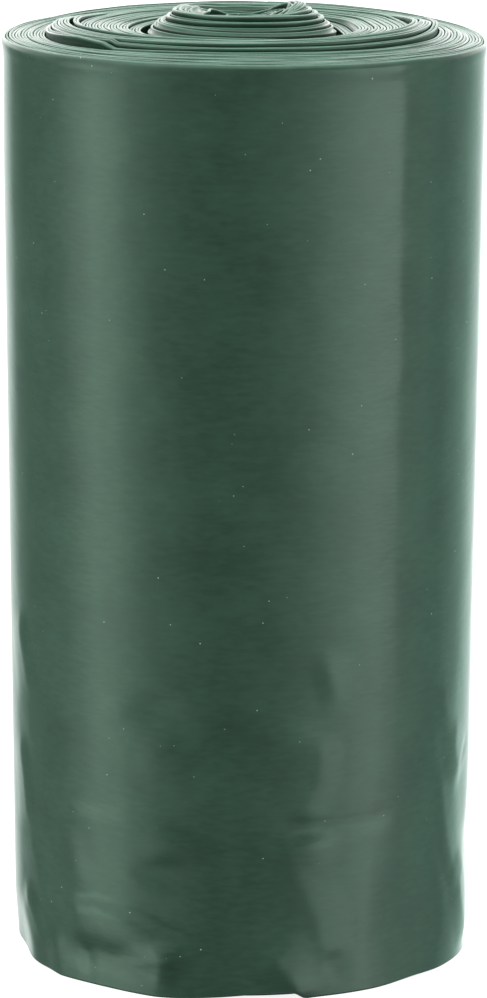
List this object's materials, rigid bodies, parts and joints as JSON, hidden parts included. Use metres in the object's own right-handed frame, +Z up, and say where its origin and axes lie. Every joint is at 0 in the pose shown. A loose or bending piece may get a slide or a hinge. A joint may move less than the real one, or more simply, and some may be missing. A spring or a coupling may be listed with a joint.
{
  "type": "roll of dog waste bags",
  "caption": "Coreless roll of thin dark green plastic bags, wound from a folded strip and standing on its end, with stepped turns on top.",
  "frame": {"origin": "on the roll's axis, at its bottom edge", "axes": "+Z up along the roll's axis, -Y towards the front of the picture, +X to its right"},
  "size_m": [0.031, 0.0311, 0.0618],
  "materials": {
    "film": "satin"
  },
  "bodies": {
    "root": {"bag_roll": "film"}
  },
  "joints": []
}
